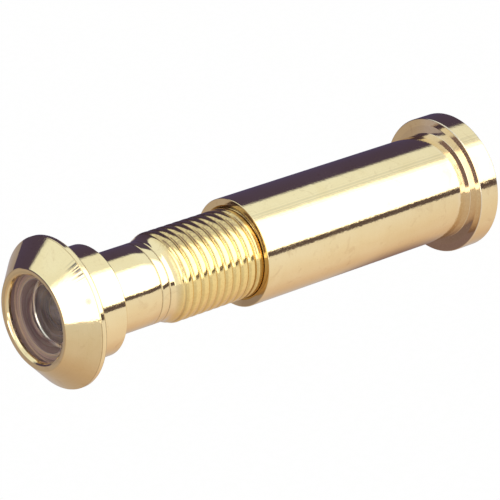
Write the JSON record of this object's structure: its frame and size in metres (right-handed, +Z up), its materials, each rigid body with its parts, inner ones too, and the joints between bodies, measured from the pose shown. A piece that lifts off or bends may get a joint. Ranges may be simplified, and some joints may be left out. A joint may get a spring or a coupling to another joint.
{
  "type": "door viewer",
  "caption": "Peephole door viewer: a conical-headed lens barrel screws into a flanged eyepiece sleeve to clamp on a door.",
  "frame": {"origin": "on the optical axis, at the middle of the overall length with the viewer at its rest extension", "axes": "+X along the optical axis from the street-side head towards the room-side flange, +Z up, +Y completes the right-handed frame"},
  "size_m": [0.0686, 0.019, 0.019],
  "materials": {
    "polished_brass_head": "polished, fine turning marks",
    "polished_brass_sleeve": "polished, fine turning marks",
    "turned_brass_ring": "as turned",
    "objective_glass": "clear",
    "second_glass": "clear",
    "third_glass": "clear",
    "eyepiece_glass": "clear",
    "brass_spacer": "as turned, dull",
    "black_field_stop": "matte black"
  },
  "bodies": {
    "sleeve": {"sleeve": "polished_brass_sleeve", "field_stop": "black_field_stop", "eyepiece_lens": "eyepiece_glass", "eyepiece_ring": "turned_brass_ring"},
    "lens_stack": {"objective_lens": "objective_glass", "front_spacer": "brass_spacer", "second_lens": "second_glass", "rear_spacer": "brass_spacer", "third_lens": "third_glass"},
    "barrel": {"barrel": "polished_brass_head"}
  },
  "joints": [
    {"name": "barrel_advance", "type": "slide", "parent": "sleeve", "child": "lens_stack", "axis": [1, 0, 0], "range_m": [-0.00501, 0.02001]},
    {"name": "barrel_turn", "type": "hinge", "parent": "lens_stack", "child": "barrel", "pos_m": [0, 0, 0], "axis": [1, 0, 0], "range_deg": [-1440, 5760]}
  ],
  "couplings": [
    {"joint": "barrel_advance", "follows": "barrel_turn", "m_per_rad": 0.00019894}
  ]
}
